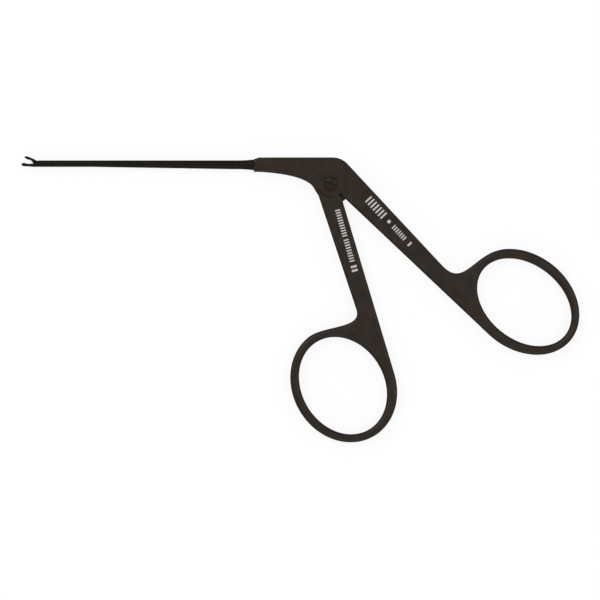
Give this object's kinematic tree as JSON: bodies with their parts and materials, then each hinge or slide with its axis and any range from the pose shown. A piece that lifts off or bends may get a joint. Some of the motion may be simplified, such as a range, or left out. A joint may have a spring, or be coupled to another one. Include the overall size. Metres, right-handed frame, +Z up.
{
  "type": "alligator forceps",
  "caption": "Slim ear forceps with ring handles, an angled head and a two-bar shaft whose upper bar slides to close a cupped jaw.",
  "frame": {"origin": "axis of the main pivot screw, on the flat underside that the forceps lie on", "axes": "+X from the jaws towards the handles along the shaft, +Y across the shaft away from the finger rings, +Z up out of the resting plane along every pivot"},
  "size_m": [0.1394, 0.0715, 0.0033],
  "materials": {
    "handle_black": "hard black satin treatment on stainless steel",
    "shaft_black": "hard black satin treatment on stainless steel, a little cooler and smoother",
    "pin_black": "black treated steel, finely turned"
  },
  "bodies": {
    "frame": {"rear_handle": "handle_black", "fixed_shaft": "shaft_black", "pivot_screw": "pin_black", "jaw_pin": "pin_black"},
    "handle": {"front_handle": "handle_black"},
    "bar": {"slider": "shaft_black", "link_pin": "pin_black"},
    "jaw": {"upper_jaw": "shaft_black"}
  },
  "joints": [
    {"name": "handle_squeeze", "type": "hinge", "parent": "frame", "child": "handle", "pos_m": [0, 0, 0.0016], "axis": [0, 0, 1], "range_deg": [0, 6.86]},
    {"name": "bar_slide", "type": "slide", "parent": "frame", "child": "bar", "axis": [-1, 0, 0], "range_m": [0, 0.00059]},
    {"name": "jaw_close", "type": "hinge", "parent": "frame", "child": "jaw", "pos_m": [-0.0744, 0.00466, 0.0016], "axis": [0, 0, 1], "range_deg": [0, 28.5]}
  ],
  "couplings": [
    {"joint": "bar_slide", "follows": "handle_squeeze", "m_per_rad": 0.0049},
    {"joint": "jaw_close", "follows": "handle_squeeze", "ratio": 4.15}
  ]
}
